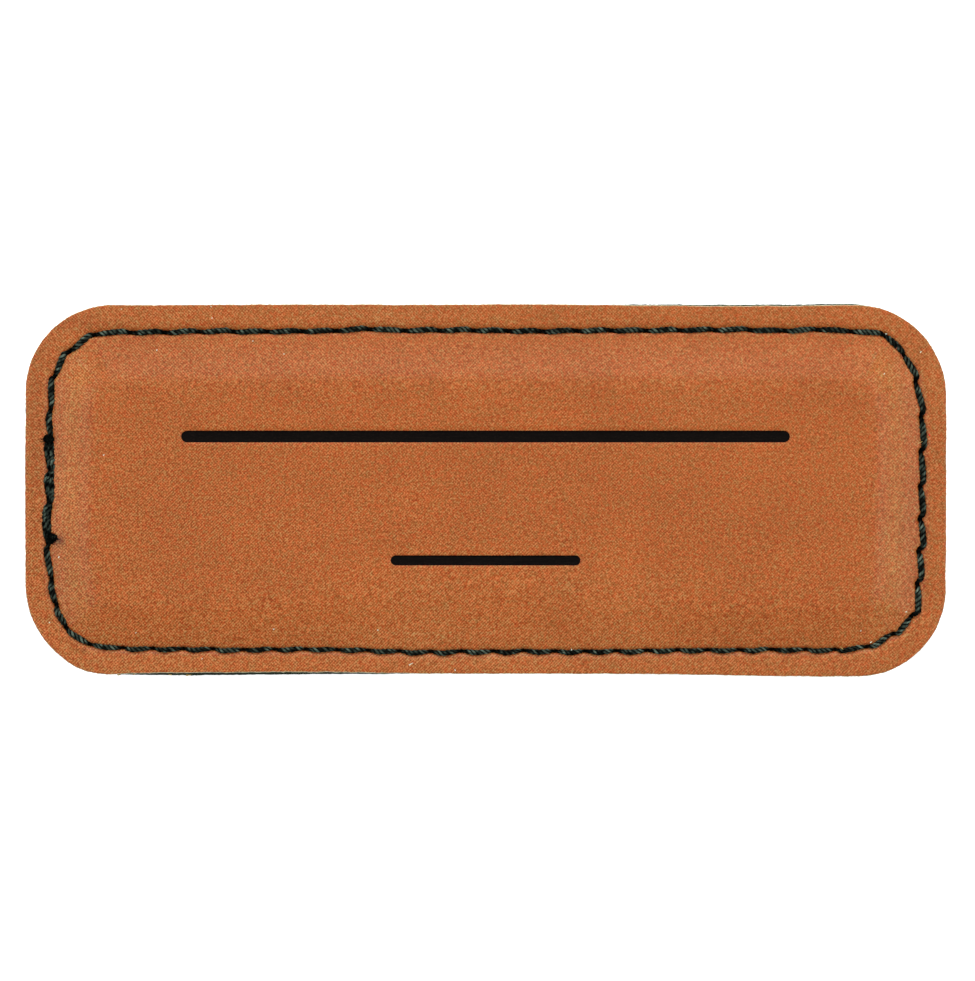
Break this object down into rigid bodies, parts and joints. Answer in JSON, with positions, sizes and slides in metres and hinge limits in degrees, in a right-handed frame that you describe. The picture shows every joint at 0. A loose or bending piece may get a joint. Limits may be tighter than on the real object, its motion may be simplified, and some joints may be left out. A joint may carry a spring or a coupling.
{
  "type": "name badge",
  "caption": "Sewn rounded-rectangle badge with a padded tan leatherette face, dark backing sheet and a flat magnetic bar behind.",
  "frame": {"origin": "on the surface that the badge lies on, under the middle of the badge, on the magnet bar's lower face", "axes": "+X along the badge's width to the wearer's left, +Y up the badge's face, +Z out of the face"},
  "size_m": [0.0826, 0.0334, 0.0072],
  "materials": {
    "leatherette_face": "matte",
    "leatherette_back": "matte",
    "fastener": "satin",
    "thread": "satin"
  },
  "bodies": {
    "root": {"front_panel": "leatherette_face", "backing": "leatherette_back", "magnet_bar": "fastener"}
  },
  "joints": []
}
